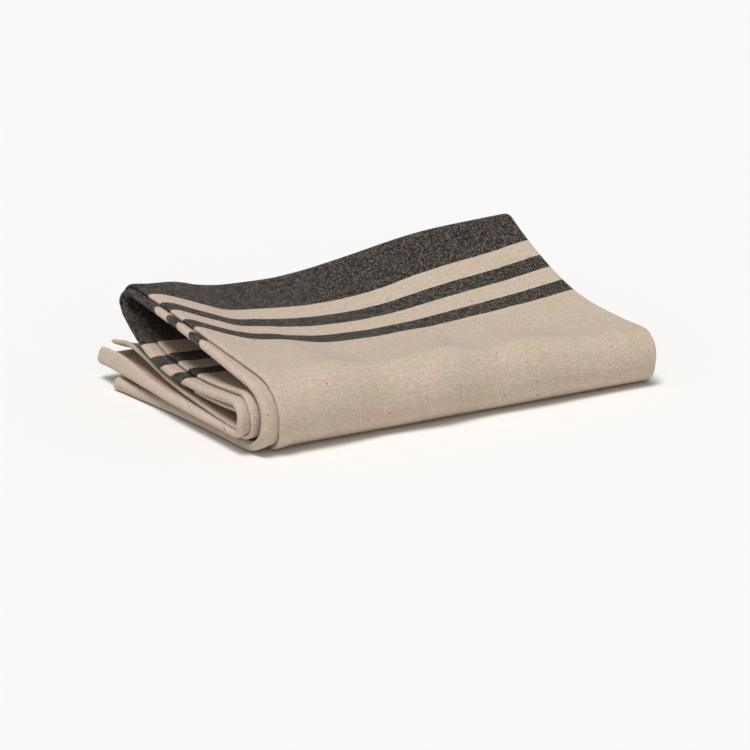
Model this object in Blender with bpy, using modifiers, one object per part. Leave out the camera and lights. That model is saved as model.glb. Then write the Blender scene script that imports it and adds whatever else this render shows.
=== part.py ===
"""A striped cotton tea towel, folded into a pad: one sheet in sixteen layers.

The flat cloth is folded back and forth into four plies (a, b, c, d) along its length.
That band of four plies is then folded in two and in two again across its width, so it
runs along a path of seven pieces: bottom panel, outer front fold, top panel, back fold,
upper inner panel, inner front fold, lower inner panel.
Axes: +X along the stripes, front folds at -Y, +Z up. The tables are in millimetres.
"""

from math import cos, hypot, pi, sin

import bmesh
import bpy

MM = 0.001
ORIGIN = (78.83, 53.5)  # x and y, in the tables, of the origin: under the middle of the pad
CLOTH = 1.1  # thickness of the cloth
CREEP = 0.1  # air between two panels that lie on each other, past the pitch of their plies

# The pad across its width, at places along the stripes: the pitch of the plies, the outermost
# points of the front and back folds, the height of the top at its front, middle and back, the
# height of the back fold's loop, the hollow in the inner front fold, and how far the lower
# inner panel lifts at its free edge.
SECTION_COLUMNS = (
    "x", "pitch", "front_y", "back_y", "top_front", "top_middle", "top_back", "loop", "core", "lift",
)
SECTIONS = (
    (-15.0, 1.37, -8.0, 111.0, 30.5, 38.6, 41.0, 8.8, 7.0, 0.5),
    (10.0, 1.38, -8.0, 110.0, 30.0, 33.2, 39.3, 8.8, 6.8, 0.5),
    (24.0, 1.39, -8.0, 109.5, 29.5, 29.2, 36.2, 8.7, 6.2, 0.5),
    (38.0, 1.40, -8.0, 109.0, 28.9, 27.0, 34.9, 8.6, 5.2, 0.5),
    (62.0, 1.40, -7.8, 109.0, 27.6, 25.2, 34.4, 8.6, 3.8, 0.5),
    (95.0, 1.40, -7.4, 109.5, 26.0, 25.0, 38.2, 9.0, 2.8, 0.5),
    (130.0, 1.39, -7.0, 109.5, 24.4, 26.2, 43.7, 9.6, 1.8, 0.5),
    (174.0, 1.38, -6.6, 108.5, 22.8, 27.6, 45.4, 10.0, 0.8, 0.5),
)

# Where the plies end, at places along the band's path: the free ends of plies a and d and the
# turn between b and c at the left, the turns between a and b and between c and d at the right.
# The last two are how much the plies stand apart at the left, as a share of their pitch, and how
# far ply a's free end stands off from ply b.
END_COLUMNS = ("along", "a", "bc", "d", "ab", "cd", "loose", "curl")
ENDS = (
    (0.0, -2.0, -16.0, -4.0, 173.0, 172.0, 0.0, 0.0),
    (1.0, 0.5, -8.0, -2.0, 173.5, 172.5, 0.0, 0.0),
    (1.5, -1.0, -7.0, -2.0, 171.0, 170.5, 0.05, 0.0),
    (2.0, -2.5, -7.2, -2.0, 170.5, 170.0, 0.0, 0.0),
    (2.5, -5.2, -8.2, -3.0, 169.0, 169.5, 0.0, 0.0),
    (3.0, -5.6, -7.9, -3.5, 168.0, 169.0, 0.0, 0.0),
    (3.5, -5.8, -8.2, -4.0, 168.0, 169.0, 0.0, 0.0),
    (4.0, -6.0, -9.0, -4.5, 167.5, 168.5, 0.0, 0.0),
    (5.0, -12.0, -13.0, -9.5, 168.0, 169.0, 0.15, 1.5),
    (5.5, -12.5, -13.6, -9.8, 168.0, 169.0, 0.1, 0.3),
    (6.0, -12.5, -13.4, -9.2, 168.0, 169.0, 0.0, 0.0),
    (6.5, -11.0, -14.5, -7.0, 168.0, 169.0, 0.0, 2.2),
    (6.85, -9.5, -15.6, -5.5, 168.0, 169.0, 0.1, 7.0),
    (7.0, -9.5, -15.8, -5.0, 168.0, 169.0, 0.1, 4.0),
)
LOOSE_LENGTH = 60.0  # length from the left over which the plies close up
CURL_LENGTH = 18.0  # length over which ply a bends away from b to its free end
BOTTOM_EDGE = (99.0, 107.0)  # y of the bottom panel's free edge, at the left and right ends
INNER_EDGE = (115.0, 111.0)  # y of the lower inner panel's free edge

INNER_FOLD_SETBACK = 0.2  # from the middle of the outer front fold to that of the inner one
BACK_RISE = 4.0  # power by which the upper inner panel climbs to the back fold
CORE_FALL = 2.0  # power by which the hollow in the inner front fold closes

PLY = 0.5  # from the band's middle to plies b and c, in pitches; a and d lie at three times that
SPREAD = 1.15  # from the band's middle to b and c where they part freely past the ends of a and d
SPREAD_ROOM = 7.5  # how far a or d must stop short of the turn for b or c to part freely
LEAST_PARTING = 3.0  # least length over which b or c parts, before the turn
STATIONS = (3.0, 14.0, 26.0, 40.0, 56.0, 76.0, 98.0, 121.0, 145.0)  # x of a ply's rows
PIECE_STEPS = (4, 8, 8, 7, 8, 6, 6)  # steps along each piece of the path
RIGHT_TURN_STEPS = 4
LEFT_TURN_STEPS = 6
SPREAD_ROWS = (0.0, 0.35, 0.7)  # places of the rows where b and c part


def row_at(columns, rows, place):
    """Return a table's values at a place, by name, on smooth curves through its rows."""
    place = min(max(place, rows[0][0]), rows[-1][0])
    index = max(i for i in range(len(rows) - 1) if rows[i][0] <= place)
    low, high = rows[index], rows[index + 1]
    before, after = rows[max(index - 1, 0)], rows[min(index + 2, len(rows) - 1)]
    step = high[0] - low[0]
    t = (place - low[0]) / step
    values = {}
    for name, b, p, q, a in zip(columns, before, low, high, after):
        leave = (q - b) / (high[0] - before[0]) * step
        reach = (a - p) / (after[0] - low[0]) * step
        values[name] = p + (
            t * leave + t * t * (3 * (q - p) - 2 * leave - reach) + t**3 * (2 * (p - q) + leave + reach)
        )
    return values


def loose_pitch(pitch, x, along):
    """Return the pitch of the plies at a place, wider where they stand apart at the left."""
    closed = min(max((x - SECTIONS[0][0]) / LOOSE_LENGTH, 0.0), 1.0)
    return pitch * (1 + row_at(END_COLUMNS, ENDS, along)["loose"] * (1 - closed) ** 2)


def section_at(x):
    """Return the pad's section at x: its pitch and each panel as a function of a share s,
    from 0 where the panel starts on the band's path to 1 where it ends."""
    row = row_at(SECTION_COLUMNS, SECTIONS, x)
    pitch = row["pitch"]
    half = 3 * PLY * pitch + CLOTH / 2  # from the band's middle to its face
    base = 3 * PLY * loose_pitch(pitch, x, 0.5) + CLOTH / 2
    share = (x - SECTIONS[0][0]) / (SECTIONS[-1][0] - SECTIONS[0][0])
    bottom_edge = BOTTOM_EDGE[0] + (BOTTOM_EDGE[1] - BOTTOM_EDGE[0]) * share
    inner_edge = INNER_EDGE[0] + (INNER_EDGE[1] - INNER_EDGE[0]) * share
    front, middle, back = (row[name] - half for name in ("top_front", "top_middle", "top_back"))
    front_y = row["front_y"] + half + (front - base) / 2
    fold_y = row["back_y"] - half - row["loop"] / 2
    inner_y = front_y + INNER_FOLD_SETBACK
    low = 2 * base + pitch - CLOTH + CREEP + half
    high = low + 4 * pitch + CREEP
    rise = back - row["loop"] - high
    bend = 2 * middle - (front + back) / 2
    # Both panels climb to the back, so the lower one reaches further and the fold stays round.
    slopes = (2 * (back - bend) + BACK_RISE * rise) / (fold_y - front_y)
    back_y = fold_y - row["loop"] * slopes / 4
    inner_back_y = fold_y + row["loop"] * slopes / 4

    def bottom_panel(s):
        return bottom_edge + (front_y - bottom_edge) * s, base

    def top_panel(s):
        return front_y + (back_y - front_y) * s, front * (1 - s) ** 2 + 2 * bend * s * (1 - s) + back * s * s

    def upper_inner_panel(s):
        z = high + rise * (1 - s) ** BACK_RISE + row["core"] * s**CORE_FALL
        return inner_back_y + (inner_y - inner_back_y) * s, z

    def lower_inner_panel(s):
        apart = loose_pitch(pitch, x, 6 + s) - pitch
        return inner_y + (inner_edge - inner_y) * s, low + row["lift"] * s**BACK_RISE + 3 * PLY * apart

    return pitch, (bottom_panel, top_panel, upper_inner_panel, lower_inner_panel)


def panel_point(panel, s, step=0.001):
    """Return a panel's point at a share of its length, and the way that it runs there."""
    y, z = panel(s)
    y0, z0 = panel(s - step)
    y1, z1 = panel(s + step)
    length = hypot(y1 - y0, z1 - z0)
    return y, z, (y1 - y0) / length, (z1 - z0) / length


def fold_point(before, after, s):
    """Return a point of the round fold from the end of one panel to the start of the next."""
    y0, z0, dy0, dz0 = panel_point(before, 1.0)
    y3, z3, dy3, dz3 = panel_point(after, 0.0)
    reach = hypot(y3 - y0, z3 - z0) * 2 / 3
    y1, z1, y2, z2 = y0 + dy0 * reach, z0 + dz0 * reach, y3 - dy3 * reach, z3 - dz3 * reach
    r = 1 - s
    y = y0 * r**3 + 3 * y1 * r * r * s + 3 * y2 * r * s * s + y3 * s**3
    z = z0 * r**3 + 3 * z1 * r * r * s + 3 * z2 * r * s * s + z3 * s**3
    dy = (y1 - y0) * r * r + 2 * (y2 - y1) * r * s + (y3 - y2) * s * s
    dz = (z1 - z0) * r * r + 2 * (z2 - z1) * r * s + (z3 - z2) * s * s
    length = hypot(dy, dz)
    return y, z, dy / length, dz / length


def cloth_point(x, along, plies):
    """Return a point of the cloth, in metres: x, a place along the path, and the plies' pitches
    from the band's middle, counted towards ply a, the outermost in the top and bottom panels."""
    pitch, panels = section_at(x)
    height = plies * loose_pitch(pitch, x, along)
    if plies > PLY:
        ends = row_at(END_COLUMNS, ENDS, along)
        near = max(1 - max(x - ends["a"], 0.0) / CURL_LENGTH, 0.0)
        height += ends["curl"] * near**2 * (plies / PLY - 1) / 2
    piece = min(int(along), 2 * len(panels) - 2)
    share = along - piece
    if piece % 2:
        y, z, dy, dz = fold_point(panels[piece // 2], panels[piece // 2 + 1], share)
    else:
        y, z, dy, dz = panel_point(panels[piece // 2], share)
    y, z = y - dz * height, z + dy * height
    return (x - ORIGIN[0]) * MM, (y - ORIGIN[1]) * MM, z * MM


def turn(end, side, radius, middle, plies, steps):
    """Return rows (x, plies) round a turn, with its outermost row at end."""
    rows = []
    for step in range(steps + 1):
        angle = pi * step / steps
        rows.append((end + side * radius * (sin(angle) - 1), middle + plies * cos(angle)))
    return rows


def spread(room):
    """Return how far b or c stands from the band's middle at their turn, in pitches: further
    where the free ply beside it stops short and leaves it room."""
    return PLY + (SPREAD - PLY) * min(room / SPREAD_ROOM, 1.0)


def parting(free_end, turn_start, plies):
    """Return rows (x, plies) of ply b (plies over 0) or c (under 0) where it parts from the other."""
    start = max(free_end, turn_start + LEAST_PARTING)
    close = PLY if plies > 0 else -PLY
    rows = []
    for share in SPREAD_ROWS:
        rise = share * share * (3 - 2 * share)
        rows.append((start + (turn_start - start) * share, close + (plies - close) * rise))
    return rows


def rows_across(along):
    """Return the cloth's rows (x, plies) from ply a's free end to ply d's, at a place on the path."""
    ends = row_at(END_COLUMNS, ENDS, along)
    pitch = section_at(0.0)[0]
    b, c = spread(ends["a"] - ends["bc"]), -spread(ends["d"] - ends["bc"])
    turn_radius = (b - c) / 2 * pitch
    turn_start = ends["bc"] + turn_radius
    tight = PLY * section_at(SECTIONS[-1][0])[0]
    rows = [(ends["a"], 3 * PLY), ((ends["a"] + STATIONS[0]) / 2, 3 * PLY)]
    rows += [(x, 3 * PLY) for x in STATIONS]
    rows += turn(ends["ab"], 1, tight, 2 * PLY, PLY, RIGHT_TURN_STEPS)
    rows += [(x, PLY) for x in reversed(STATIONS)]
    rows += parting(ends["a"], turn_start, b)
    rows += turn(ends["bc"], -1, turn_radius, (b + c) / 2, (b - c) / 2, LEFT_TURN_STEPS)
    rows += reversed(parting(ends["d"], turn_start, c))
    rows += [(x, -PLY) for x in STATIONS]
    rows += turn(ends["cd"], 1, tight, -2 * PLY, PLY, RIGHT_TURN_STEPS)
    rows += [(x, -3 * PLY) for x in reversed(STATIONS)]
    rows += [(ends["d"], -3 * PLY)]
    return rows


def folded_sheet():
    """Make a flat grid with the cloth's rows and fold it up."""
    places = [0.0]
    for piece, steps in enumerate(PIECE_STEPS):
        places += [piece + (step + 1) / steps for step in range(steps)]
    rows = [rows_across(along) for along in places]
    across, down = len(rows[0]) - 1, len(places) - 1
    mesh = bmesh.new()
    bmesh.ops.create_grid(mesh, x_segments=across, y_segments=down, size=1.0)
    for vert in mesh.verts:
        column = round((vert.co.x + 1) / 2 * across)
        line = round((vert.co.y + 1) / 2 * down)
        x, plies = rows[line][column]
        vert.co = cloth_point(x, places[line], plies)
    # Split every face along the same way over the pad, so that the facets of plies that lie
    # on each other stay parallel.
    to_right, to_left = [], []
    for face in mesh.faces:
        corners = [loop.vert.co.x for loop in face.loops]
        (to_right if corners[1] > corners[0] else to_left).append(face)
    bmesh.ops.triangulate(mesh, faces=to_right, quad_method="FIXED")
    bmesh.ops.triangulate(mesh, faces=to_left, quad_method="ALTERNATE")
    return mesh


def cotton():
    """The cloth's material: ecru cotton."""
    material = bpy.data.materials.new("ecru_cotton")
    material.use_nodes = True
    shader = material.node_tree.nodes["Principled BSDF"]
    shader.inputs["Base Color"].default_value = (0.56, 0.46, 0.37, 1.0)
    shader.inputs["Roughness"].default_value = 0.95
    shader.inputs["Metallic"].default_value = 0.0
    return material


def make_towel(collection):
    """Make the towel: the folded sheet, with the thickness of its cloth."""
    sheet = folded_sheet()
    mesh = bpy.data.meshes.new("towel")
    sheet.to_mesh(mesh)
    sheet.free()
    mesh.materials.append(cotton())
    mesh.shade_smooth()
    towel = bpy.data.objects.new("towel", mesh)
    collection.objects.link(towel)
    solidify = towel.modifiers.new("thickness", "SOLIDIFY")
    solidify.thickness = CLOTH * MM
    solidify.offset = 0.0
    solidify.use_even_offset = True
    return towel


def main():
    for obj in list(bpy.data.objects):
        bpy.data.objects.remove(obj, do_unlink=True)
    collection = bpy.data.collections.new("tea_towel")
    bpy.context.scene.collection.children.link(collection)
    make_towel(collection)


main()
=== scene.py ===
# %% [markdown]
# # A striped cotton tea towel, folded into a pad
# The object is one sheet of plain-woven ecru cotton, about 70 by 50 cm, with charcoal stripes
# woven in. It is folded in four along its length and in four across its width, so sixteen
# layers of cloth lie on each other. Nearly all of its look comes from two things: how those
# layers bend and part at the edges, and how the threads of the weave carry the two colours.
# This file makes the cloth as a flat grid, folds the grid up with a recipe, gives it the
# thickness of cloth, and then weaves its colours in the sheet's own flat coordinates.

from math import cos, exp, hypot, pi, radians, sin, sqrt

import bmesh
import bpy
import numpy as np
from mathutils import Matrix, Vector, noise


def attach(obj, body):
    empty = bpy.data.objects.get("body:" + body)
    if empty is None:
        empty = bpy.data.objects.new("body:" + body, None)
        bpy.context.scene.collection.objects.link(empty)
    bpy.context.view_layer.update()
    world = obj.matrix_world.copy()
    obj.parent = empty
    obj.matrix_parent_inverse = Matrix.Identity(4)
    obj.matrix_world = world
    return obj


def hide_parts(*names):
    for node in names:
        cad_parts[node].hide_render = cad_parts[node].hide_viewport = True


MM = 0.001  # the frame is in metres, and the named sizes are in mm where they don't say so


def in_mm(lengths):
    """Return lengths given in metres as rounded numbers of mm, to print."""
    return [round(length / MM, 1) for length in lengths]


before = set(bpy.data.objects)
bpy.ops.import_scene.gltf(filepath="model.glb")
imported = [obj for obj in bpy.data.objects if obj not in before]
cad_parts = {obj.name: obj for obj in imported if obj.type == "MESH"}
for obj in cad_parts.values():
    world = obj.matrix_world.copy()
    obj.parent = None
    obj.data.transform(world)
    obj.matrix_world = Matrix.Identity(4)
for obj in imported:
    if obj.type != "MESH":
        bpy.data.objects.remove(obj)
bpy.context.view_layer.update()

# %% [markdown]
# ## The camera and the room
# The towel is seen from its left front corner, from a little above, with a long lens. The
# place and the lens come from how the edges of the pad run in the picture. The floor is a
# plain pale sheet. The key light comes from high up, a little to the left and in front. A weak
# warm light from low in front and a pale sky brighten its shadows. Lamps hung near the pad
# would leave the floor darker behind it, so both lights are suns, which light all of it alike.
# Each looks wide, so the shadows have soft edges.

# %% Camera
AZIMUTH, ELEVATION = radians(-30.5), radians(17.5)  # of the camera, seen from the towel
DISTANCE = 1.6  # in metres, from the point that the camera is placed round
FOCAL_PIXELS = 4025.0  # focal length, in pixels of the picture
IMAGE_WIDTH = 750  # in pixels
SENSOR = 36.0  # width of the sensor
CLIP = (0.05, 50.0)  # distances between which the camera sees things, in metres
TURNED_ABOUT = Vector((1.0, -3.54, 15.0)) * MM  # the point that the camera is placed round
AIM = Vector((-33.6, -53.54, 23.7)) * MM  # the point in the middle of the picture


def make_camera():
    """Place the camera on its line of sight and turn it to the aim."""
    data = bpy.data.cameras.new("camera")
    data.sensor_width = SENSOR
    data.lens = FOCAL_PIXELS / IMAGE_WIDTH * SENSOR
    data.clip_start, data.clip_end = CLIP
    camera = bpy.data.objects.new("camera", data)
    bpy.context.scene.collection.objects.link(camera)
    back = Vector((sin(AZIMUTH) * cos(ELEVATION), -cos(AZIMUTH) * cos(ELEVATION), sin(ELEVATION)))
    camera.location = TURNED_ABOUT + back * DISTANCE
    camera.rotation_euler = (AIM - camera.location).to_track_quat("-Z", "Y").to_euler()
    bpy.context.scene.camera = camera
    return camera


camera = make_camera()
print("lens:", round(camera.data.lens, 1), "mm")

# %% Floor
FLOOR_SIZE = 14.0  # in metres
FLOOR_COLOUR = (0.90, 0.905, 0.91, 1.0)
FLOOR_ROUGHNESS, FLOOR_SHINE = 0.9, 0.1


def make_floor():
    """Make a plain pale floor at the height of the pad's underside."""
    mesh = bpy.data.meshes.new("floor")
    shape = bmesh.new()
    bmesh.ops.create_grid(shape, x_segments=1, y_segments=1, size=FLOOR_SIZE / 2)
    shape.to_mesh(mesh)
    shape.free()
    material = bpy.data.materials.new("pale_floor")
    material.use_nodes = True
    shader = material.node_tree.nodes["Principled BSDF"]
    shader.inputs["Base Color"].default_value = FLOOR_COLOUR
    shader.inputs["Roughness"].default_value = FLOOR_ROUGHNESS
    shader.inputs["Specular IOR Level"].default_value = FLOOR_SHINE
    mesh.materials.append(material)
    floor = bpy.data.objects.new("floor", mesh)
    bpy.context.scene.collection.objects.link(floor)
    return floor


floor = make_floor()
print("floor:", len(floor.data.polygons), "face,", FLOOR_SIZE, "m wide")

# %% Lights
SKY_STRENGTH, SKY_COLOUR = 0.33, (0.95, 0.99, 1.05, 1.0)
LIGHTS = {
    # name: (direction that it comes from, how wide it looks in degrees, strength, colour)
    "key": ((-0.24, -0.18, 0.93), 24.0, 2.4, (1.0, 0.97, 0.925)),
    "fill": ((-0.25, -0.85, 0.3), 40.0, 0.35, (1.0, 0.72, 0.45)),
}


def make_lights():
    """Set the two soft lights and the pale sky."""
    for name, (source, width, strength, colour) in LIGHTS.items():
        data = bpy.data.lights.new(name, "SUN")
        data.angle = radians(width)
        data.energy = strength
        data.color = colour
        light = bpy.data.objects.new(name, data)
        bpy.context.scene.collection.objects.link(light)
        light.rotation_euler = (-Vector(source)).to_track_quat("-Z", "Y").to_euler()
    world = bpy.data.worlds.new("studio")
    world.use_nodes = True
    sky = world.node_tree.nodes["Background"]
    sky.inputs["Color"].default_value = SKY_COLOUR
    sky.inputs["Strength"].default_value = SKY_STRENGTH
    bpy.context.scene.world = world
    bpy.context.scene.view_settings.view_transform = "Standard"


make_lights()
print("lights:", ", ".join(LIGHTS), "and the sky")

# %% [markdown]
# ## How the towel is folded
# The sheet is folded back and forth along its length into four plies, a, b, c and d. That
# band of four is folded in two and in two again across its width. Cut across, the band runs
# along a path of seven pieces: bottom panel, outer front fold, top panel, back fold, upper
# inner panel, inner front fold and lower inner panel. A cloth simulation could fold a sheet,
# but sixteen layers that touch all over are slow to settle and hard to steer. So the path is
# drawn: two short tables hold the pad's sections and its ends, and smooth curves run through
# their rows. The tables are in millimetres, and are those of the solid that the cloth covers.

# %% Tables of the pad's sections and ends
ORIGIN = (78.83, 53.5)  # x and y, in the tables, of the point under the middle of the pad
SOLID_CLOTH = 1.1  # thickness of the cloth in the solid
CLOTH = 0.8  # thickness of the real cloth, which the sheet made here is given
CREEP = 0.1  # air between two panels, past the pitch of their plies

# The pad across its width, at places along the stripes: the pitch of the plies, the outermost
# points of the front and back folds, the height of the top at its front, middle and back, the
# height of the back fold's loop, the hollow in the inner front fold, and how far the lower
# inner panel lifts at its free edge.
SECTION_COLUMNS = (
    "x", "pitch", "front_y", "back_y", "top_front", "top_middle", "top_back", "loop", "core", "lift",
)
SECTIONS = (
    (-15.0, 1.37, -8.0, 111.0, 30.5, 38.6, 41.0, 8.8, 7.0, 0.5),
    (10.0, 1.38, -8.0, 110.0, 30.0, 33.2, 39.3, 8.8, 6.8, 0.5),
    (24.0, 1.39, -8.0, 109.5, 29.5, 29.2, 36.2, 8.7, 6.2, 0.5),
    (38.0, 1.40, -8.0, 109.0, 28.9, 27.0, 34.9, 8.6, 5.2, 0.5),
    (62.0, 1.40, -7.8, 109.0, 27.6, 25.2, 34.4, 8.6, 3.8, 0.5),
    (95.0, 1.40, -7.4, 109.5, 26.0, 25.0, 38.2, 9.0, 2.8, 0.5),
    (130.0, 1.39, -7.0, 109.5, 24.4, 26.2, 43.7, 9.6, 1.8, 0.5),
    (174.0, 1.38, -6.6, 108.5, 22.8, 27.6, 45.4, 10.0, 0.8, 0.5),
)

# Where the plies end, at places along the band's path: the free ends of plies a and d and the
# turn between b and c at the left, the turns between a and b and between c and d at the right.
# The last two are how much the plies stand apart at the left, as a share of their pitch, and how
# far ply a's free end stands off from ply b.
END_COLUMNS = ("along", "a", "bc", "d", "ab", "cd", "loose", "curl")
ENDS = (
    (0.0, -2.0, -16.0, -4.0, 173.0, 172.0, 0.0, 0.0),
    (1.0, 0.5, -8.0, -2.0, 173.5, 172.5, 0.0, 0.0),
    (1.5, -1.0, -7.0, -2.0, 171.0, 170.5, 0.05, 0.0),
    (2.0, -2.5, -7.2, -2.0, 170.5, 170.0, 0.0, 0.0),
    (2.5, -5.2, -8.2, -3.0, 169.0, 169.5, 0.0, 0.0),
    (3.0, -5.6, -7.9, -3.5, 168.0, 169.0, 0.0, 0.0),
    (3.5, -5.8, -8.2, -4.0, 168.0, 169.0, 0.0, 0.0),
    (4.0, -6.0, -9.0, -4.5, 167.5, 168.5, 0.0, 0.0),
    (5.0, -12.0, -13.0, -9.5, 168.0, 169.0, 0.15, 1.5),
    (5.5, -12.5, -13.6, -9.8, 168.0, 169.0, 0.1, 0.3),
    (6.0, -12.5, -13.4, -9.2, 168.0, 169.0, 0.0, 0.0),
    (6.5, -11.0, -14.5, -7.0, 168.0, 169.0, 0.0, 2.2),
    (6.85, -9.5, -15.6, -5.5, 168.0, 169.0, 0.1, 7.0),
    (7.0, -9.5, -15.8, -5.0, 168.0, 169.0, 0.1, 4.0),
)
LOOSE_LENGTH = 60.0  # length from the left over which the plies close up
CURL_LENGTH = 18.0  # length over which ply a bends away from b to its free end
BOTTOM_EDGE = (99.0, 107.0)  # y of the bottom panel's free edge, at the left and right ends
INNER_EDGE = (115.0, 111.0)  # y of the lower inner panel's free edge
INNER_FOLD_SETBACK = 0.2  # from the middle of the outer front fold to that of the inner one
BACK_RISE = 4.0  # power by which the two inner panels climb to the back
CORE_FALL = 2.0  # power by which the hollow in the inner front fold closes
PLY = 0.5  # from the band's middle to plies b and c, in pitches; a and d lie at three times that
LOWER_INNER = 6  # where on the path the lower inner panel starts
print("rows in the tables:", len(SECTIONS), "and", len(ENDS))

# %% [markdown]
# A table is read at any place between its rows by a cubic curve that passes through each row
# and leaves it in the direction of its neighbours. That keeps the folds free of kinks.


# %% Reading a table
def row_at(columns, rows, place):
    """Return a table's values at a place, by name, on smooth curves through its rows."""
    place = min(max(place, rows[0][0]), rows[-1][0])
    index = max(i for i in range(len(rows) - 1) if rows[i][0] <= place)
    low, high = rows[index], rows[index + 1]
    before, after = rows[max(index - 1, 0)], rows[min(index + 2, len(rows) - 1)]
    step = high[0] - low[0]
    t = (place - low[0]) / step
    values = {}
    for name, b, p, q, a in zip(columns, before, low, high, after):
        leave = (q - b) / (high[0] - before[0]) * step
        reach = (a - p) / (after[0] - low[0]) * step
        squared, cubed = 3 * (q - p) - 2 * leave - reach, 2 * (p - q) + leave + reach
        values[name] = p + (t * leave + t * t * squared + t**3 * cubed)
    return values


def loose_pitch(pitch, x, along):
    """Return the pitch of the plies at a place, wider where they stand apart at the left."""
    closed = min(max((x - SECTIONS[0][0]) / LOOSE_LENGTH, 0.0), 1.0)
    return pitch * (1 + row_at(END_COLUMNS, ENDS, along)["loose"] * (1 - closed) ** 2)


middle_row = row_at(SECTION_COLUMNS, SECTIONS, ORIGIN[0])
print("the pad's middle, in mm:", {name: round(value, 1) for name, value in middle_row.items()})

# %% [markdown]
# A cut across the pad shows its four panels. The bottom one is flat. The top one is a parabola
# through three heights from the table. The inner two lie between them, flat in front and
# steeper to the back, as a power of the distance makes them. A line drawn by hand through many
# points could do the same, but a formula stays smooth and needs only the numbers in the table.


# %% The pad's section
def section_at(x):
    """Return the pad's section at x: its pitch and each panel as a function of a share s,
    from 0 where the panel starts on the band's path to 1 where it ends."""
    row = row_at(SECTION_COLUMNS, SECTIONS, x)
    pitch = row["pitch"]
    half = 3 * PLY * pitch + SOLID_CLOTH / 2  # from the band's middle to its face
    base = 3 * PLY * loose_pitch(pitch, x, 0.5) + SOLID_CLOTH / 2  # the same in the bottom panel
    share = (x - SECTIONS[0][0]) / (SECTIONS[-1][0] - SECTIONS[0][0])
    bottom_edge = BOTTOM_EDGE[0] + (BOTTOM_EDGE[1] - BOTTOM_EDGE[0]) * share
    inner_edge = INNER_EDGE[0] + (INNER_EDGE[1] - INNER_EDGE[0]) * share
    front, middle, back = (row[name] - half for name in ("top_front", "top_middle", "top_back"))
    front_y = row["front_y"] + half + (front - base) / 2
    fold_y = row["back_y"] - half - row["loop"] / 2
    inner_y = front_y + INNER_FOLD_SETBACK
    low = 2 * base + pitch - SOLID_CLOTH + CREEP + half
    high = low + 4 * pitch + CREEP
    rise = back - row["loop"] - high
    bend = 2 * middle - (front + back) / 2
    # Both panels climb to the back, so the lower one reaches further and the fold stays round.
    slopes = (2 * (back - bend) + BACK_RISE * rise) / (fold_y - front_y)
    back_y = fold_y - row["loop"] * slopes / 4
    inner_back_y = fold_y + row["loop"] * slopes / 4

    def bottom_panel(s):
        return bottom_edge + (front_y - bottom_edge) * s, base

    def top_panel(s):
        z = front * (1 - s) ** 2 + 2 * bend * s * (1 - s) + back * s * s
        return front_y + (back_y - front_y) * s, z

    def upper_inner_panel(s):
        z = high + rise * (1 - s) ** BACK_RISE + row["core"] * s**CORE_FALL
        return inner_back_y + (inner_y - inner_back_y) * s, z

    def lower_inner_panel(s):
        apart = loose_pitch(pitch, x, LOWER_INNER + s) - pitch
        z = low + row["lift"] * s**BACK_RISE + 3 * PLY * apart
        return inner_y + (inner_edge - inner_y) * s, z

    return pitch, (bottom_panel, top_panel, upper_inner_panel, lower_inner_panel)


middle_panels = section_at(ORIGIN[0])[1]
print("heights of the panels' middles, in mm:", [round(panel(0.5)[1], 1) for panel in middle_panels])

# %% [markdown]
# Between two panels the band turns round in a fold. A cubic Bezier curve that leaves one
# panel and enters the next in their own directions is close to a half circle when its
# handles are two thirds of the gap, so each fold needs no sizes of its own.


# %% Panels and folds
def panel_point(panel, s, step=0.001):
    """Return a panel's point at a share of its length, and the way that it runs there."""
    y, z = panel(s)
    y0, z0 = panel(s - step)
    y1, z1 = panel(s + step)
    length = hypot(y1 - y0, z1 - z0)
    return y, z, (y1 - y0) / length, (z1 - z0) / length


def fold_point(before, after, s):
    """Return a point of the round fold from the end of one panel to the start of the next, and
    the way that it runs there."""
    y0, z0, dy0, dz0 = panel_point(before, 1.0)
    y3, z3, dy3, dz3 = panel_point(after, 0.0)
    reach = hypot(y3 - y0, z3 - z0) * 2 / 3
    y1, z1, y2, z2 = y0 + dy0 * reach, z0 + dz0 * reach, y3 - dy3 * reach, z3 - dz3 * reach
    r = 1 - s
    y = y0 * r**3 + 3 * y1 * r * r * s + 3 * y2 * r * s * s + y3 * s**3
    z = z0 * r**3 + 3 * z1 * r * r * s + 3 * z2 * r * s * s + z3 * s**3
    dy = (y1 - y0) * r * r + 2 * (y2 - y1) * r * s + (y3 - y2) * s * s
    dz = (z1 - z0) * r * r + 2 * (z2 - z1) * r * s + (z3 - z2) * s * s
    length = hypot(dy, dz)
    return y, z, dy / length, dz / length


back_fold = fold_point(middle_panels[1], middle_panels[2], 0.5)
print("halfway round the back fold, y and z in mm:", round(back_fold[0], 1), round(back_fold[1], 1))
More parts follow.
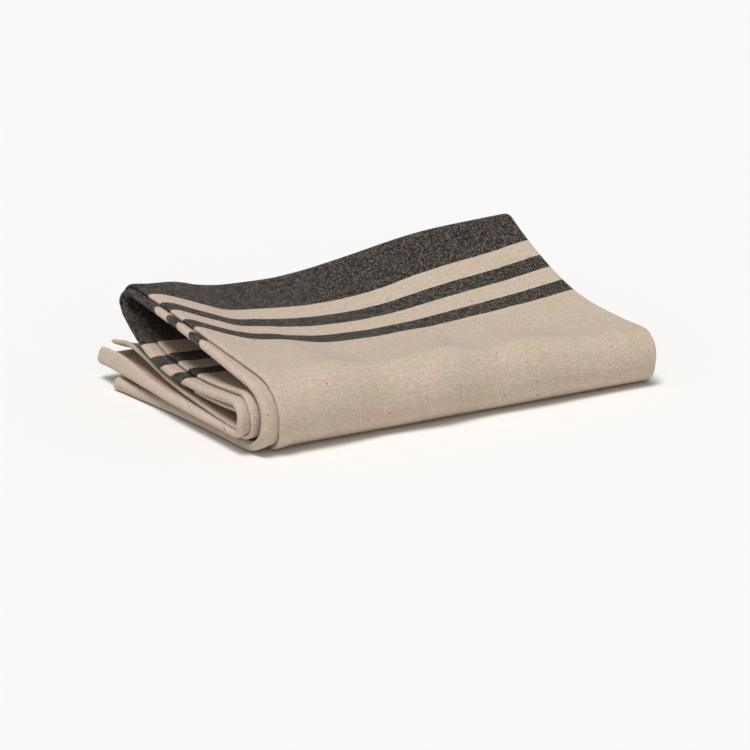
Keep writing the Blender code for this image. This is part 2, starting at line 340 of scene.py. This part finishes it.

# %% [markdown]
# ## What makes it look like cloth
# A recipe alone gives layers like sheet metal. Real cloth is uneven in three ways, and each
# is added where the band is placed. The whole band sways a little, in and out. The plies lie
# closer in some places than in others. And there are creases: soft troughs and ridges where
# the cloth was pressed or pulled, most of them across the front crest. The creases are listed
# in a table. Each is a line on the band, from one point to another, with a width and
# a height; a trough's is negative. A free end that lies on another ply also curls away from it.

# %% Table of creases and sways
PIECE_LENGTH = 46.0  # length of one piece of the path as the creases and sways see it
CREASES = (
    # x and place along the path where it starts, the same where it ends, its width and its height
    (44.0, 1.3, 50.0, 2.3, 10.0, -1.9),
    (70.0, 1.35, 82.0, 2.25, 9.0, 2.0),
    (20.0, 1.5, 30.0, 2.5, 9.0, 1.4),
    (96.0, 1.4, 98.0, 2.15, 9.0, -1.2),
    (120.0, 1.5, 114.0, 2.2, 9.0, 1.2),
    (148.0, 1.45, 140.0, 2.2, 9.0, -0.9),
    (16.0, 2.55, 34.0, 3.05, 7.0, -0.8),
    (-2.0, 2.75, 20.0, 3.15, 6.0, 0.6),
    (120.0, 2.5, 160.0, 2.9, 12.0, -0.5),
)
CREASE_START = 0.5  # part of the outer front fold over which the creases come up
CREASE_TIPS = 0.35  # height of a crease at its two tips, as a share of the height in its middle
SWAYS = (0.0, 0.0, 0.4, 0.35, 0.25, 0.12, 0.1, 0.1)  # height of the sway where each piece starts
SWAY_LENGTH = 34.0  # usual length of a sway
PACKING = 0.05  # how much the pitch of the plies varies, as a share of it
PACKING_LENGTH = 22.0  # usual length along x over which it varies
PACKING_CHANGES = 2.1  # how often it varies along one piece of the path
SWAY_SEED, PACKING_SEED = 3.7, 8.2
print("creases:", len(CREASES))


# %% Unevenness
def sway_at(x, along, outer):
    """Return how far the cloth is pushed out at a place, in mm. The whole band sways, but the
    creases die out through it, from all of their height where outer is 1 to none where it is 0.
    The bottom panel stays flat."""
    outer *= min(max((along - 1) / CREASE_START, 0.0), 1.0) ** 2
    index = min(int(along), len(SWAYS) - 2)
    size = SWAYS[index] + (SWAYS[index + 1] - SWAYS[index]) * (along - index)
    p = along * PIECE_LENGTH
    out = size * 2 * noise.noise(Vector((x / SWAY_LENGTH, p / SWAY_LENGTH, SWAY_SEED)))
    for x0, along0, x1, along1, width, height in CREASES:
        p0, p1 = along0 * PIECE_LENGTH, along1 * PIECE_LENGTH
        run = hypot(x1 - x0, p1 - p0)
        share = ((x - x0) * (x1 - x0) + (p - p0) * (p1 - p0)) / run**2
        inside = min(max(share, 0.0), 1.0)
        off = hypot(x - x0 - (x1 - x0) * inside, p - p0 - (p1 - p0) * inside)
        swell = CREASE_TIPS + (1 - CREASE_TIPS) * sqrt(max(sin(pi * inside), 0.0))
        out += outer * height * exp(-((off / width) ** 2)) * swell
    return out


def packing_at(x, along):
    """Return how closely the plies lie at a place, as a share of their usual pitch."""
    place = Vector((x / PACKING_LENGTH, along * PACKING_CHANGES, PACKING_SEED))
    return 1 + PACKING * noise.noise(place)


def cloth_point(x, along, plies):
    """Return a point of the cloth, in metres: x, a place along the path, and the plies' pitches
    from the band's middle, counted towards ply a, the outermost in the top and bottom panels."""
    pitch, panels = section_at(x)
    height = plies * loose_pitch(pitch, x, along) * packing_at(x, along)
    if plies > PLY:
        ends = row_at(END_COLUMNS, ENDS, along)
        near = max(1 - max(x - ends["a"], 0.0) / CURL_LENGTH, 0.0)
        height += ends["curl"] * near**2 * (plies / PLY - 1) / 2
    piece = min(int(along), 2 * len(panels) - 2)  # a panel where it is even, and a fold where odd
    share = along - piece
    if piece % 2:
        y, z, dy, dz = fold_point(panels[piece // 2], panels[piece // 2 + 1], share)
    else:
        y, z, dy, dz = panel_point(panels[piece // 2], share)
    height += sway_at(x, along, (plies / (3 * PLY) + 1) / 2)
    y, z = y - dz * height, z + dy * height
    z = max(z, CLOTH / 2)  # the floor stops it
    return Vector((x - ORIGIN[0], y - ORIGIN[1], z)) * MM


print("ply a halfway along the top panel, in mm:", in_mm(cloth_point(ORIGIN[0], 2.5, 3 * PLY)))

# %% [markdown]
# ## The rows of the sheet
# Along its length the sheet passes through ply a, the turn to b, ply b, the turn to c, and so
# on. Each turn is a small half circle. The turn between b and c at the left bulges where the
# ends of a and d stop short of it and leave it room. Where nothing shows, the rows lie far
# apart; on the outer ply and at the ends they lie close together, which is where a bend or a
# crease has to be drawn. No end is cut straight: each wavers a little along the path.

# %% Rows across the plies
SPREAD = 1.2  # from the band's middle to b and c where they part freely past the ends of a and d
SPREAD_ROOM = 7.5  # how far a or d must stop short of the turn for b or c to part freely
LEAST_PARTING = 3.0  # least length over which b or c parts, before the turn
EDGE_ROWS = (0.0, 0.1, 0.32, 0.75, 2.0, 4.0)  # from a free end
OUTER_ROWS, OUTER_BUNCHING = 74, 0.2  # rows on ply a, and how much they bunch up at its ends
INNER_ROWS, INNER_BUNCHING = 24, 0.75  # the same on each of the other plies
RIGHT_TURN_STEPS, LEFT_TURN_STEPS = 8, 14
PARTING_ROWS = (0.0, 0.2, 0.4, 0.6, 0.8)  # places of the rows where b and c part, as shares
WAVERS = {
    # end or turn: (how far it wavers, the usual length of that, seed)
    "a": (0.4, 25.0, 7.7),
    "bc": (0.7, 21.0, 4.1),
    "d": (0.4, 25.0, 9.2),
    "ab": (0.9, 20.0, 2.2),
    "cd": (0.9, 20.0, 6.4),
}
LOOSER = (0.1, 17.0, 1.3)  # the same for how freely b and c part, as a share
OFF_GRID = 0.5  # noise is nought at whole numbers, so one of its coordinates stays between them


def graded(start, end, rows, bunching):
    """Return places from start to end, both left out, closer together at the two ends."""
    places = []
    for row in range(1, rows + 1):
        t = row / (rows + 1)
        eased = t - bunching * sin(2 * pi * t) / (2 * pi)
        places.append(start + (end - start) * eased)
    return places


def turn(end, side, radius, middle, plies, steps):
    """Return rows (x, plies) round a turn, with its outermost row at end."""
    rows = []
    for step in range(steps + 1):
        angle = pi * step / steps
        rows.append((end + side * radius * (sin(angle) - 1), middle + plies * cos(angle)))
    return rows


def spread(room):
    """Return how far b or c stands from the band's middle at their turn, in pitches: further
    where the free ply beside it stops short and leaves it room."""
    return PLY + (SPREAD - PLY) * min(room / SPREAD_ROOM, 1.0)


def parting(free_end, turn_start, plies):
    """Return rows (x, plies) of ply b (plies over 0) or c (under 0) where it parts from the other."""
    start = max(free_end, turn_start + LEAST_PARTING)
    close = PLY if plies > 0 else -PLY
    rows = []
    for share in PARTING_ROWS:
        rise = share * share * (3 - 2 * share)
        rows.append((start + (turn_start - start) * share, close + (plies - close) * rise))
    return rows


def waver(along, size, length, seed):
    """Return a smooth irregular number from minus this size to plus it, along the path."""
    return size * 2 * noise.noise(Vector((along * PIECE_LENGTH / length, seed, OFF_GRID)))


def rows_across(along):
    """Return the cloth's rows (x, plies) from ply a's free end to ply d's, at a place on the path."""
    ends = row_at(END_COLUMNS, ENDS, along)
    a, bc, d, ab, cd = (ends[name] + waver(along, *WAVERS[name]) for name in ("a", "bc", "d", "ab", "cd"))
    looser = 1 + waver(along, *LOOSER)
    b, c = looser * spread(a - bc), -looser * spread(d - bc)
    loop = (b - c) / 2 * section_at(0.0)[0]  # radius of the turn between b and c
    tight = PLY * section_at(SECTIONS[-1][0])[0]  # radius of the two turns at the right
    upper, lower = parting(a, bc + loop, b), parting(d, bc + loop, c)
    rows = [(a + edge, 3 * PLY) for edge in EDGE_ROWS]
    rows += [(x, 3 * PLY) for x in graded(a + EDGE_ROWS[-1], ab - tight, OUTER_ROWS, OUTER_BUNCHING)]
    rows += turn(ab, 1, tight, 2 * PLY, PLY, RIGHT_TURN_STEPS)
    rows += [(x, PLY) for x in graded(ab - tight, upper[0][0], INNER_ROWS, INNER_BUNCHING)]
    rows += upper
    rows += turn(bc, -1, loop, (b + c) / 2, (b - c) / 2, LEFT_TURN_STEPS)
    rows += reversed(lower)
    rows += [(x, -PLY) for x in graded(lower[0][0], cd - tight, INNER_ROWS, INNER_BUNCHING)]
    rows += turn(cd, 1, tight, -2 * PLY, PLY, RIGHT_TURN_STEPS)
    rows += [(x, -3 * PLY) for x in graded(cd - tight, d + EDGE_ROWS[-1], INNER_ROWS, INNER_BUNCHING)]
    rows += [(d + edge, -3 * PLY) for edge in reversed(EDGE_ROWS)]
    return rows


print("rows across the sheet:", len(rows_across(2.0)))

# %% [markdown]
# ## Folding the grid
# The sheet starts as a flat grid made by a bmesh operator. Each vertex knows its line and its
# column from where it lies in that grid, and is moved to its place in the folded pad. The
# flat grid is also the cloth's own map: how far each vertex lies along the sheet, measured
# over the folded surface, becomes its UV. Stripes and weave drawn in that map follow every
# fold by themselves, as on real cloth.

# %% Fold the sheet
PIECE_STEPS = (16, 22, 50, 28, 30, 16, 20)  # steps along each piece of the path
PANEL_LENGTH = 100.0  # length of a panel, near enough


def folded_sheet():
    """Make a flat grid and fold it up. Return it with its points, the place on the path of each
    line of the grid, and the line and column of each vertex."""
    edge = [row / PANEL_LENGTH for row in EDGE_ROWS]
    places = edge[:-1] + [len(PIECE_STEPS) - share for share in edge]
    for piece, steps in enumerate(PIECE_STEPS):
        places += [piece + step / steps for step in range(steps) if piece + step > 0]
    places.sort()
    rows = [rows_across(along) for along in places]
    across, down = len(rows[0]) - 1, len(places) - 1
    sheet = bmesh.new()
    bmesh.ops.create_grid(sheet, x_segments=across, y_segments=down, size=1.0)
    points = np.zeros((down + 1, across + 1, 3))
    where = {}
    for vert in sheet.verts:  # the flat grid runs from -1 to 1 both ways
        line = round((vert.co.y + 1) / 2 * down)
        column = round((vert.co.x + 1) / 2 * across)
        x, plies = rows[line][column]
        vert.co = cloth_point(x, places[line], plies)
        points[line, column] = vert.co
        where[vert] = line, column
    return sheet, points, places, where


sheet, points, places, where = folded_sheet()
print("vertices in the sheet:", len(sheet.verts))

# %% [markdown]
# Nobody folds a towel quite true. The stripes run a little askew of the folds, and swing
# aside near the free end, where the cloth was pulled. A short table gives how far, at places
# along the sheet, and the map is shifted by it, so the cloth itself keeps its shape.

# %% Measure the sheet over its folds
FLAT = (0.70, 0.50)  # the flat sheet, along and across the stripes, in metres
BACK_FOLD = 3.5  # the middle of the back fold, where the wide stripe is centred
SLIP_COLUMNS = ("from_end", "slip")
SLIPS = (
    (0.0, -7.5), (6.0, -7.0), (12.0, -2.5), (19.0, 0.8), (40.0, 1.2), (70.0, 2.8), (95.0, 3.6),
    (120.0, 1.3), (147.0, -0.8), (172.0, -3.5), (180.0, -3.5), (350.0, 1.8), (700.0, 1.8),
)


def over_folds(points, axis):
    """Return how far each vertex lies from the sheet's first edge, over the folds, in metres."""
    steps = np.linalg.norm(np.diff(points, axis=axis), axis=2)
    return np.insert(np.cumsum(steps, axis=axis), 0, 0.0, axis=axis)


def flat_places(points, places):
    """Return how far each vertex lies along the flat sheet from ply a's end, and how far across
    it from the middle of the back fold, in metres."""
    along_sheet = over_folds(points, 1)
    along_sheet *= FLAT[0] / along_sheet[:, -1:]
    across_sheet = over_folds(points, 0)
    middle = min(range(len(places)), key=lambda line: abs(places[line] - BACK_FOLD))
    across_sheet -= across_sheet[middle].copy()
    return along_sheet, across_sheet


along_sheet, across_sheet = flat_places(points, places)
folded_lengths = over_folds(points, 1)[:, -1]
print("half widths of the sheet, in mm:", in_mm((across_sheet[0].min(), across_sheet[-1].max())))
print("length of the sheet, in mm:", in_mm((folded_lengths.min(), folded_lengths.max())))


# %% Map the stripes onto the sheet
def map_cloth(sheet):
    """Write each vertex's place on the flat cloth into the sheet's UV map."""
    layer = sheet.loops.layers.uv.new("cloth")
    for face in sheet.faces:
        for loop in face.loops:
            cell = where[loop.vert]
            slip = row_at(SLIP_COLUMNS, SLIPS, along_sheet[cell] / MM)["slip"] * MM
            u = along_sheet[cell] / FLAT[0]
            v = (across_sheet[cell] + slip) / FLAT[1] + 0.5
            loop[layer].uv = (u, v)


map_cloth(sheet)
print("faces mapped:", len(sheet.faces))

# %% [markdown]
# A narrow hem runs round the cloth, turned in and sewn down, so it is more than twice as thick
# there and its edge is round. Modelling the turned-in strip would double the layers to keep
# apart. A Solidify modifier that reads a vertex group gives the same outline: the group holds
# the thickness, which is full over the hem and falls to almost nothing round its edge. Where
# the hem lies on the floor it is pressed flat, so nowhere is it thicker than twice its height.

# %% Thickness and hems
HEM = 1.9  # thickness at the hem
HEM_WIDTH = 8.0
HEM_SLOPE = 6.0  # length over which the hem's thickness runs out
THIN = 0.12  # thickness at the very edge


def thickness_at(from_edge, height):
    """Return the cloth's thickness at a distance from its nearest edge and a height, in mm."""
    hem = min(HEM, 2 * height)
    if from_edge < hem / 2:
        return max(THIN, 2 * sqrt(max(from_edge * (hem - from_edge), 0.0)))
    ramp = min(max((from_edge - HEM_WIDTH + HEM_SLOPE) / HEM_SLOPE, 0.0), 1.0)
    return hem + (min(CLOTH, hem) - hem) * ramp * ramp * (3 - 2 * ramp)


def thicken(towel, cells):
    """Give the towel its thickness, at the line and column that each vertex has in cells."""
    group = towel.vertex_groups.new(name="thickness")
    for index, cell in enumerate(cells):
        column = cell[1]
        first, last = across_sheet[0, column], across_sheet[-1, column]
        from_end = min(along_sheet[cell], FLAT[0] - along_sheet[cell]) / MM
        from_side = min(across_sheet[cell] - first, last - across_sheet[cell]) / MM
        thick = thickness_at(min(from_end, from_side), points[cell][2] / MM)
        group.add([index], (thick - THIN) / (HEM - THIN), "REPLACE")
    solidify = towel.modifiers.new("thickness", "SOLIDIFY")
    solidify.thickness = HEM * MM
    solidify.offset = 0.0
    solidify.vertex_group = group.name
    solidify.thickness_vertex_group = THIN / HEM


def make_towel(sheet):
    """Turn the folded sheet into the towel and return it."""
    cells = [where[vert] for vert in sheet.verts]
    mesh = bpy.data.meshes.new("towel_cloth")
    sheet.to_mesh(mesh)
    sheet.free()
    mesh.shade_smooth()
    towel = bpy.data.objects.new("towel_cloth", mesh)
    bpy.context.scene.collection.objects.link(towel)
    thicken(towel, cells)
    return towel


towel = make_towel(sheet)
print("faces of the towel before it is thickened:", len(towel.data.polygons))

# %% [markdown]
# ## The cotton
# The cloth is a plain weave: yarns along the stripes pass over and under yarns across them.
# All the yarns across are ecru. Within a stripe the yarns along it are charcoal, so a stripe
# is never solid black: ecru dots show wherever a crossing yarn comes up. An image of cloth
# could be wrapped on, but it would blur close up and its stripes would have to be fitted to
# the folds. Nodes that count the yarns in the sheet's flat map stay sharp and follow the cloth.
# A few helpers keep the node code as short as the sums that it stands for.

# %% Helpers for nodes
SEED_SLANT = 1.7  # a seed shifts a pattern by this many times as much across the cloth as along


def put(tree, socket, value):
    """Link a socket to an output, or set it to a plain value."""
    if isinstance(value, bpy.types.NodeSocket):
        tree.links.new(value, socket)
    else:
        socket.default_value = value


def maths(tree, operation, *values):
    """Add a Math node with these inputs and return its output."""
    node = tree.nodes.new("ShaderNodeMath")
    node.operation = operation
    for socket, value in zip(node.inputs, values):
        put(tree, socket, value)
    return node.outputs[0]


def ranged(tree, value, low, high, to_low=0.0, to_high=1.0):
    """Add a Map Range node that eases in and out, and return its output."""
    node = tree.nodes.new("ShaderNodeMapRange")
    node.interpolation_type = "SMOOTHSTEP"
    for socket, given in zip(node.inputs, (value, low, high, to_low, to_high)):
        put(tree, socket, given)
    return node.outputs[0]


def mixed(tree, share, first, second):
    """Add a colour Mix node and return its colour."""
    node = tree.nodes.new("ShaderNodeMix")
    node.data_type = "RGBA"
    # A Mix node keeps sockets for every type of data; these are its share and its two colours.
    for socket, value in zip((node.inputs[0], node.inputs[6], node.inputs[7]), (share, first, second)):
        put(tree, socket, value)
    return node.outputs[2]


def shaded(tree, colour, value):
    """Multiply a colour by a value and return the colour."""
    node = tree.nodes.new("ShaderNodeVectorMath")
    node.operation = "SCALE"
    put(tree, node.inputs[0], colour)
    put(tree, node.inputs["Scale"], value)
    return node.outputs[0]


def moved(tree, place, seed, size_along, size_across):
    """Return the place, shifted by a seed and counted in patches of this size, in mm."""
    node = tree.nodes.new("ShaderNodeMapping")
    put(tree, node.inputs["Vector"], place)
    node.inputs["Location"].default_value = (seed, SEED_SLANT * seed, 0.0)
    node.inputs["Scale"].default_value = (1 / size_along, 1 / size_across, 1.0)
    return node.outputs[0]


def patches(tree, place, seed, size_along, size_across, detail=2.0):
    """Return soft noise in patches of this size, in mm, with values about a half."""
    node = tree.nodes.new("ShaderNodeTexNoise")
    node.noise_dimensions = "2D"
    put(tree, node.inputs["Vector"], moved(tree, place, seed, size_along, size_across))
    node.inputs["Scale"].default_value = 1.0
    node.inputs["Detail"].default_value = detail
    return node.outputs[0]


# %% [markdown]
# The weave is a group of its own, as it is what most cloths share. It is given a place on the
# flat cloth and the pitch of the yarns, both in mm. It gives back the height of the surface,
# the spots where a yarn across the stripes comes up, the middle of the yarn that runs along
# the stripes there, a tone for whichever yarn lies on top, and a grain that changes from each
# crossing to the next. The yarns wander a little.

# %% Counting the yarns
WANDER = 0.3  # how far the yarns stray from straight lines
WANDER_LENGTH = 9.0  # usual length over which they stray
WANDER_SEEDS = (3.0, 8.0)  # for the yarns across the stripes and those along them


def yarn_counts(group, place, pitch):
    """Return how many yarns lie before a place, counted along the stripes and across them."""
    flat = group.nodes.new("ShaderNodeSeparateXYZ")
    put(group, flat.inputs[0], place)
    counts = []
    for axis, seed in enumerate(WANDER_SEEDS):
        noisy = patches(group, place, seed, WANDER_LENGTH, WANDER_LENGTH)
        stray = maths(group, "SUBTRACT", noisy, 0.5)
        strayed = maths(group, "MULTIPLY_ADD", stray, 2 * WANDER, flat.outputs[axis])
        counts.append(maths(group, "DIVIDE", strayed, pitch))
    return counts


def yarn_tone(group, number, seed):
    """Return a tone from 0 to 1 that a yarn keeps over its whole length."""
    lot = group.nodes.new("ShaderNodeTexWhiteNoise")
    lot.noise_dimensions = "1D"
    put(group, lot.inputs["W"], maths(group, "ADD", number, seed))
    return lot.outputs["Value"]


def crossing_grain(group, column, line):
    """Return a grain from 0 to 1 that each crossing of two yarns has for itself."""
    crossing = group.nodes.new("ShaderNodeCombineXYZ")
    put(group, crossing.inputs[0], column)
    put(group, crossing.inputs[1], line)
    lot = group.nodes.new("ShaderNodeTexWhiteNoise")
    lot.noise_dimensions = "2D"
    put(group, lot.inputs["Vector"], crossing.outputs[0])
    return lot.outputs["Value"]


# %% The weave
LINE_SEED, COLUMN_SEED = 0.31, 0.77
DOT_EDGE = (0.5, 0.7)  # height of a crossing yarn where its spot starts and where it is full


def weave_group():
    """Make the node group that draws a plain weave."""
    group = bpy.data.node_groups.new("plain_weave", "ShaderNodeTree")
    for name, kind in (("Place", "NodeSocketVector"), ("Pitch", "NodeSocketFloat")):
        group.interface.new_socket(name, in_out="INPUT", socket_type=kind)
    for name in ("Height", "Crossing", "Yarn Middle", "Tone", "Grain"):
        group.interface.new_socket(name, in_out="OUTPUT", socket_type="NodeSocketFloat")
    given = group.nodes.new("NodeGroupInput").outputs
    result = group.nodes.new("NodeGroupOutput").inputs

    counts = yarn_counts(group, given["Place"], given["Pitch"])
    column, line = (maths(group, "FLOOR", count) for count in counts)
    arch_along, arch_across = (
        maths(group, "SINE", maths(group, "MULTIPLY", maths(group, "FRACT", count), pi)) for count in counts
    )
    dome = maths(group, "MULTIPLY", arch_along, arch_across)
    crossing_up = maths(group, "FLOORED_MODULO", maths(group, "ADD", column, line), 2.0)

    def on_top(along, crossing):
        """Choose between a value of the yarn along the stripes and one of the yarn across them."""
        change = maths(group, "SUBTRACT", crossing, along)
        return maths(group, "MULTIPLY_ADD", change, crossing_up, along)

    along_height, crossing_height = (
        maths(group, "MULTIPLY", maths(group, "ADD", dome, arch), 0.5) for arch in (arch_across, arch_along)
    )
    tones = yarn_tone(group, line, LINE_SEED), yarn_tone(group, column, COLUMN_SEED)
    spot = maths(group, "MULTIPLY", crossing_up, ranged(group, dome, *DOT_EDGE))
    middle = maths(group, "MULTIPLY", maths(group, "ADD", line, 0.5), given["Pitch"])
    put(group, result["Height"], on_top(along_height, crossing_height))
    put(group, result["Crossing"], spot)
    put(group, result["Yarn Middle"], middle)
    put(group, result["Tone"], on_top(*tones))
    put(group, result["Grain"], crossing_grain(group, column, line))
    return group


weave = weave_group()
print("nodes in the weave:", len(weave.nodes))

# %% [markdown]
# Three stripes lie on either side of the cloth's middle, counting half of the wide one that
# the middle runs through. A table holds them. A stripe starts and ends with a whole yarn, so
# the test is made with the yarn's own middle. Dyed yarn takes its colour unevenly, which
# mottles the stripes with darker and browner patches. Raw cotton keeps specks of husk, and
# its cream drifts a little, to yellow and to pink. All but the specks are soft noise, each
# stretched to the size of its patches, so one table holds them.

# %% Where the stripes and the patches lie
PITCH = 0.57  # from one yarn to the next
STRIPES = (  # distance of the stripe's middle from the cloth's middle line, and its width
    (0.0, 57.2),
    (43.4, 9.0),
    (62.2, 8.8),
)
PATCHES = {
    # name: (seed, size along and across, detail, noise where it starts and is full, values there)
    "yellow": (21.0, 20.0, 12.0, 8.0, 0.47, 0.66, 0.0, 1.0),
    "pink": (34.0, 24.0, 14.0, 8.0, 0.47, 0.66, 0.0, 1.0),
    "slub": (13.0, 3.0, 0.8, 2.0, 0.25, 0.75, 0.95, 1.05),
    "brown": (55.0, 5.0, 3.0, 2.0, 0.48, 0.7, 0.0, 1.0),
    "dye": (61.0, 1.6, 2.0, 3.0, 0.35, 0.68, 0.5, 2.0),
    "dots": (72.0, 1.8, 2.2, 3.0, 0.34, 0.68, 0.3, 1.1),
}


def in_stripes(tree, middle):
    """Return 1 where the yarn at this distance across the cloth is in a stripe, and 0 elsewhere."""
    from_middle = maths(tree, "ABSOLUTE", maths(tree, "SUBTRACT", middle, FLAT[1] / MM / 2))
    inside = 0.0
    for place, width in STRIPES:
        off = maths(tree, "ABSOLUTE", maths(tree, "SUBTRACT", from_middle, place))
        inside = maths(tree, "ADD", inside, maths(tree, "LESS_THAN", off, width / 2))
    return inside


def patchy(tree, place, name):
    """Return the value of one of the named patches at a place."""
    seed, along, across, detail, *levels = PATCHES[name]
    return ranged(tree, patches(tree, place, seed, along, across, detail), *levels)


print("yarns in each stripe:", [round(width / PITCH) for place, width in STRIPES])

# %% The colours of the yarns
ECRU = (0.665, 0.55, 0.455, 1.0)
YELLOWER = (0.64, 0.54, 0.41, 1.0)
PINKER = (0.676, 0.531, 0.443, 1.0)
CHARCOAL = (0.020, 0.0195, 0.0182, 1.0)
BROWNER = (0.038, 0.027, 0.021, 1.0)
HUSK = (0.12, 0.07, 0.04, 1.0)
ECRU_TONES = (0.86, 0.08, 0.2)  # least brightness, and what the yarn's tone and the grain add
CHARCOAL_TONES = (0.4, 0.4, 0.8)
# painted shade: raw cotton is drawn darker down in the gaps between the yarns, where shade falls
GAP_SHADE_TONE = 0.62  # brightness of raw cotton down in the gaps between the yarns
GAP_SHADE_HEIGHT = 0.7  # share of the yarns' height up to which a gap darkens them
HUSK_SEED = 5.0
HUSK_CELL = (13.0, 10.0)  # the cloth is divided into cells of this size, with a speck each or none
HUSK_NONE = 0.55  # share of the cells with none
HUSK_SIZES = (0.016, 0.022)  # radius of the least speck, and what the largest has more, in cells


def uneven(tree, colour, woven, least, by_tone, by_grain):
    """Shade a yarn's colour by its own tone and by the grain of each crossing."""
    tone = maths(tree, "MULTIPLY_ADD", woven["Tone"], by_tone, least)
    return shaded(tree, colour, maths(tree, "MULTIPLY_ADD", woven["Grain"], by_grain, tone))


def ecru_yarn(tree, place, woven):
    """Return the colour of the raw yarns, with painted shade in the gaps between them."""
    colour = mixed(tree, patchy(tree, place, "yellow"), ECRU, YELLOWER)
    colour = mixed(tree, patchy(tree, place, "pink"), colour, PINKER)
    colour = uneven(tree, colour, woven, *ECRU_TONES)
    # painted shade: darker in the gaps between the yarns
    gap_shade = ranged(tree, woven["Height"], 0.0, GAP_SHADE_HEIGHT, GAP_SHADE_TONE, 1.0)
    return shaded(tree, shaded(tree, colour, patchy(tree, place, "slub")), gap_shade)


def charcoal_yarn(tree, place, woven):
    """Return the colour of the dyed yarns."""
    colour = mixed(tree, patchy(tree, place, "brown"), CHARCOAL, BROWNER)
    colour = shaded(tree, colour, patchy(tree, place, "dye"))
    return uneven(tree, colour, woven, *CHARCOAL_TONES)


def husk_specks(tree, place):
    """Return 1 on the few specks of husk and 0 elsewhere."""
    cells = tree.nodes.new("ShaderNodeTexVoronoi")
    cells.voronoi_dimensions = "2D"
    put(tree, cells.inputs["Vector"], moved(tree, place, HUSK_SEED, *HUSK_CELL))
    cells.inputs["Scale"].default_value = 1.0
    lot = tree.nodes.new("ShaderNodeSeparateColor")
    put(tree, lot.inputs[0], cells.outputs["Color"])
    kept = maths(tree, "GREATER_THAN", lot.outputs["Red"], HUSK_NONE)
    least, more = HUSK_SIZES
    size = maths(tree, "MULTIPLY_ADD", lot.outputs["Green"], more, least)
    return maths(tree, "MULTIPLY", kept, maths(tree, "LESS_THAN", cells.outputs["Distance"], size))


# %% [markdown]
# The material joins them. Ecru dots sit low between the dyed yarns, so they get painted shade
# that makes them darker than ecru elsewhere, and in places the dyed yarns nearly hide them. The
# bump is the weave's own height, a little over a tenth of a millimetre, with finer fuzz on top.
# Cotton has no gloss, but its loose fibres catch light that skims the surface, which is what
# sheen does.

# %% The cotton
# painted shade: an ecru dot is drawn darker, as it sits low between the dyed yarns
DOT_SHADE_TONE = 0.72  # brightness of an ecru dot within a stripe, as a share of the plain cloth's
DOT_GRAIN = (0.0, 0.9, 0.0, 1.1)  # from which grain to which a dot comes up, and how much of it
HUSK_COVER = 0.8  # how much of the yarn's colour a speck of husk hides
ROUGHNESS = (0.97, 0.86)  # in the gaps and on top of the yarns
SHINE = 0.2  # specular level, low as the fibres scatter light
SHEEN, SHEEN_ROUGHNESS = 0.08, 0.5
RELIEF = 0.13  # height of the yarns over the gaps between them
RELIEF_STRENGTH = 0.8  # share of that height which the bump shows
FUZZ = (90.0, 0.35, 0.25, 3.0)  # seed, size along and across, and detail
FUZZ_HEIGHT = 0.5  # as a share of the yarns' height


def towel_colour(tree, place, woven):
    """Return the colour of the cloth: ecru, with its stripes and its specks of husk."""
    ecru, charcoal = ecru_yarn(tree, place, woven), charcoal_yarn(tree, place, woven)
    by_grain = ranged(tree, woven["Grain"], *DOT_GRAIN)
    showing = maths(tree, "MULTIPLY", patchy(tree, place, "dots"), by_grain)
    dots = maths(tree, "MULTIPLY", woven["Crossing"], showing)
    # the ecru dots carry painted shade, as they sit low between the dyed yarns
    striped = mixed(tree, dots, charcoal, shaded(tree, ecru, DOT_SHADE_TONE))
    colour = mixed(tree, in_stripes(tree, woven["Yarn Middle"]), ecru, striped)
    specks = maths(tree, "MULTIPLY", husk_specks(tree, place), HUSK_COVER)
    return mixed(tree, specks, colour, HUSK)


def cotton():
    """Make the woven cotton with its stripes."""
    material = bpy.data.materials.new("striped_cotton")
    material.use_nodes = True
    tree = material.node_tree
    shader = tree.nodes["Principled BSDF"]
    cloth_map = tree.nodes.new("ShaderNodeUVMap")
    cloth_map.uv_map = "cloth"
    flat = tree.nodes.new("ShaderNodeVectorMath")
    flat.operation = "MULTIPLY"
    put(tree, flat.inputs[0], cloth_map.outputs["UV"])
    flat.inputs[1].default_value = (FLAT[0] / MM, FLAT[1] / MM, 1.0)
    place = flat.outputs[0]
    weaving = tree.nodes.new("ShaderNodeGroup")
    weaving.node_tree = weave
    put(tree, weaving.inputs["Place"], place)
    weaving.inputs["Pitch"].default_value = PITCH
    woven = weaving.outputs

    put(tree, shader.inputs["Base Color"], towel_colour(tree, place, woven))
    put(tree, shader.inputs["Roughness"], ranged(tree, woven["Height"], 0.0, 1.0, *ROUGHNESS))
    shader.inputs["Specular IOR Level"].default_value = SHINE
    shader.inputs["Sheen Weight"].default_value = SHEEN
    shader.inputs["Sheen Roughness"].default_value = SHEEN_ROUGHNESS
    surface = maths(tree, "MULTIPLY_ADD", patches(tree, place, *FUZZ), FUZZ_HEIGHT, woven["Height"])
    bump = tree.nodes.new("ShaderNodeBump")
    bump.inputs["Strength"].default_value = RELIEF_STRENGTH
    bump.inputs["Distance"].default_value = RELIEF * MM
    put(tree, bump.inputs["Height"], surface)
    put(tree, shader.inputs["Normal"], bump.outputs["Normal"])
    return material


towel.data.materials.append(cotton())
print("nodes in the cotton:", len(towel.data.materials[0].node_tree.nodes))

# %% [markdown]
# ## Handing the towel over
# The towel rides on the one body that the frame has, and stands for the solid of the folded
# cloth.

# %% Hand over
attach(towel, "root")
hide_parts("towel")
